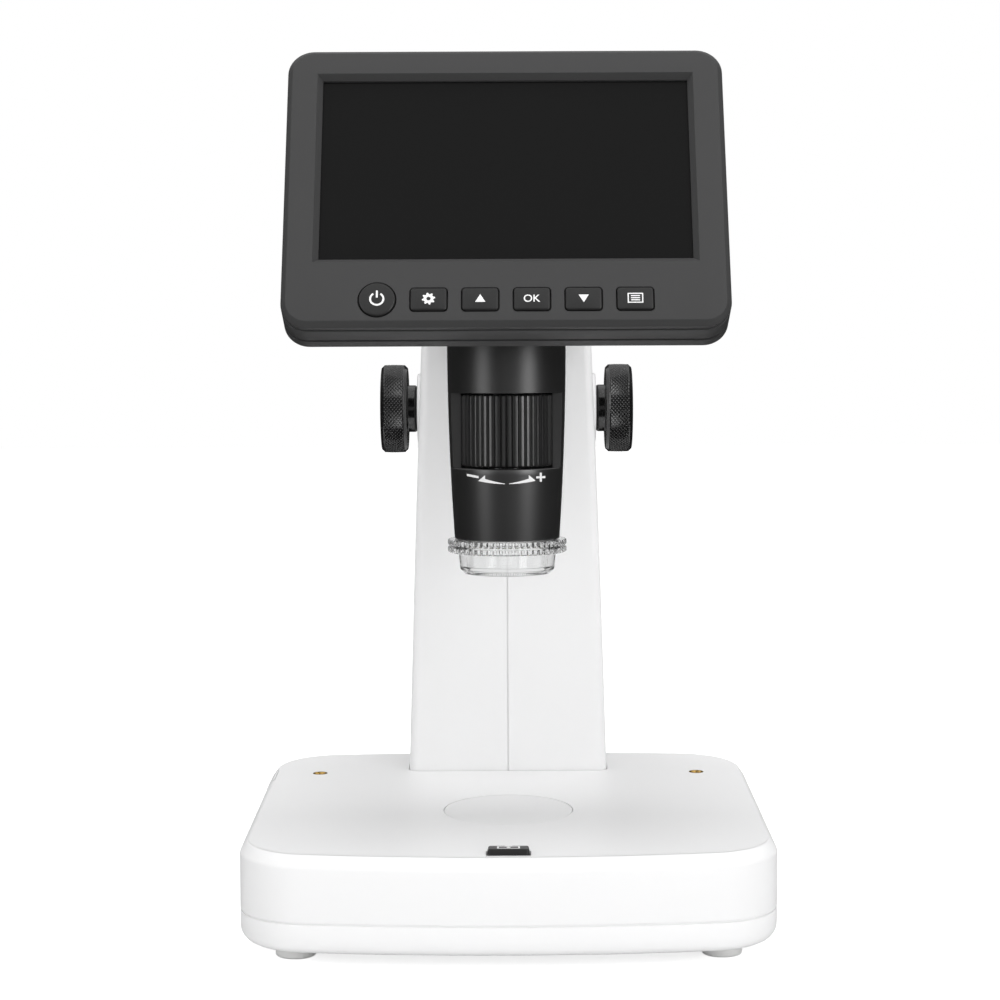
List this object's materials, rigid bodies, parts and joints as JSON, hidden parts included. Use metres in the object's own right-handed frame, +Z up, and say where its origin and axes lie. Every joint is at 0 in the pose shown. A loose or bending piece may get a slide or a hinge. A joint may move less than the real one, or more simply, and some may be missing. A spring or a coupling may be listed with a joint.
{
  "type": "lcd digital microscope",
  "caption": "Free-standing digital microscope: leaning screen with keys on a rack-focused barrel, over a round stage on a wide base.",
  "frame": {"origin": "centre of the base's footprint at the feet's underside", "axes": "+Z up, -Y towards the user, +X to the user's right"},
  "size_m": [0.148, 0.137, 0.248],
  "materials": {
    "white_shell": "fine satin",
    "stage_white": "satin",
    "rubber_white": "matt",
    "barrel_black": "semi-gloss",
    "wheel_black": "semi-gloss",
    "knob_black": "black anodised",
    "display_black": "fine texture",
    "key_black": "satin",
    "screen": "anti-glare",
    "clear_plastic": "clear",
    "lens_glass": "polished",
    "steel": "bright",
    "brass": "turned",
    "inner_plastic": "moulded",
    "circuit_board": "solder mask",
    "light": "phosphor",
    "panel": "dark",
    "battery": "wrapped"
  },
  "bodies": {
    "stand": {"base_top_shell": "white_shell", "base_bottom_cover": "white_shell", "base_screws": "steel", "rubber_feet": "rubber_white", "stage_disc": "stage_white", "stage_light_board": "circuit_board", "brass_inserts": "brass", "shutter_board": "circuit_board", "port_cover_pin": "steel", "power_socket": "steel", "arm_left_shell": "white_shell", "arm_right_shell": "white_shell", "arm_screws": "steel", "guide_rods": "steel", "lower_rod_bracket": "inner_plastic", "upper_rod_bracket": "inner_plastic", "shaft_bushings": "brass"},
    "focus_shaft": {"knob_shaft": "steel", "pinion": "brass", "left_focus_knob": "knob_black", "right_focus_knob": "knob_black", "knob_set_screws": "steel"},
    "head": {"head_carriage": "inner_plastic", "rack": "inner_plastic", "barrel_front_shell": "barrel_black", "barrel_rear_shell": "barrel_black", "barrel_screws": "steel", "optical_tube": "steel", "sensor_board": "circuit_board", "image_sensor": "circuit_board", "ring_light_board": "circuit_board", "ring_lights": "light", "hinge_bracket": "barrel_black", "hinge_screws": "steel"},
    "focus_ring": {"focus_wheel": "wheel_black"},
    "lens": {"lens_cell": "barrel_black", "objective_lens": "lens_glass"},
    "cap": {"clear_cap": "clear_plastic"},
    "display": {"display_bezel": "display_black", "display_frame": "display_black", "display_rear_cover": "display_black", "display_screws": "steel", "screen_glass": "screen", "lcd_panel": "panel", "main_board": "circuit_board", "battery_pack": "battery", "card_socket": "steel", "key_board": "circuit_board", "key_switches": "circuit_board", "hinge_pin": "steel"},
    "power_key": {"power_key": "key_black"},
    "settings_key": {"settings_key": "key_black"},
    "up_key": {"up_key": "key_black"},
    "ok_key": {"ok_key": "key_black"},
    "down_key": {"down_key": "key_black"},
    "mode_key": {"mode_key": "key_black"},
    "shutter": {"shutter_button": "key_black"},
    "port_flap": {"port_cover": "white_shell"}
  },
  "joints": [
    {"name": "head_slide", "type": "slide", "parent": "stand", "child": "head", "axis": [0, 0, 1], "range_m": [-0.038, 0.006]},
    {"name": "focus_knobs", "type": "hinge", "parent": "stand", "child": "focus_shaft", "pos_m": [0, 0.0539, 0.147], "axis": [1, 0, 0], "range_deg": [-58, 364]},
    {"name": "focus_wheel_turn", "type": "hinge", "parent": "head", "child": "focus_ring", "pos_m": [0, -0.0121, 0.1428], "axis": [0, 0, 1], "range_deg": [-152, 152]},
    {"name": "lens_focus", "type": "slide", "parent": "head", "child": "lens", "axis": [0, 0, 1], "range_m": [-0.0025, 0.0025]},
    {"name": "cap_pull", "type": "slide", "parent": "head", "child": "cap", "axis": [0, 0, -1], "range_m": [0, 0.012]},
    {"name": "display_tilt", "type": "hinge", "parent": "head", "child": "display", "pos_m": [0, -0.02288, 0.20702], "axis": [1, 0, 0], "range_deg": [-45, 15]},
    {"name": "power_key_press", "type": "slide", "parent": "display", "child": "power_key", "axis": [0, 0.9026, -0.4305], "range_m": [0, 0.0005], "stiffness_N_per_m": 600, "springref_m": -0.0005},
    {"name": "settings_key_press", "type": "slide", "parent": "display", "child": "settings_key", "axis": [0, 0.9026, -0.4305], "range_m": [0, 0.0005], "stiffness_N_per_m": 600, "springref_m": -0.0005},
    {"name": "up_key_press", "type": "slide", "parent": "display", "child": "up_key", "axis": [0, 0.9026, -0.4305], "range_m": [0, 0.0005], "stiffness_N_per_m": 600, "springref_m": -0.0005},
    {"name": "ok_key_press", "type": "slide", "parent": "display", "child": "ok_key", "axis": [0, 0.9026, -0.4305], "range_m": [0, 0.0005], "stiffness_N_per_m": 600, "springref_m": -0.0005},
    {"name": "down_key_press", "type": "slide", "parent": "display", "child": "down_key", "axis": [0, 0.9026, -0.4305], "range_m": [0, 0.0005], "stiffness_N_per_m": 600, "springref_m": -0.0005},
    {"name": "mode_key_press", "type": "slide", "parent": "display", "child": "mode_key", "axis": [0, 0.9026, -0.4305], "range_m": [0, 0.0005], "stiffness_N_per_m": 600, "springref_m": -0.0005},
    {"name": "shutter_press", "type": "slide", "parent": "stand", "child": "shutter", "axis": [0, 0.0366, -0.9993], "range_m": [0, 0.0005], "stiffness_N_per_m": 600, "springref_m": -0.0005},
    {"name": "port_flap_hinge", "type": "hinge", "parent": "stand", "child": "port_flap", "pos_m": [-0.073, 0.0344, 0.0236], "axis": [0, -1, 0], "range_deg": [0, 100]}
  ],
  "couplings": [
    {"joint": "focus_knobs", "follows": "head_slide", "rad_per_m": -166.67},
    {"joint": "focus_wheel_turn", "follows": "lens_focus", "rad_per_m": 1047.1}
  ]
}
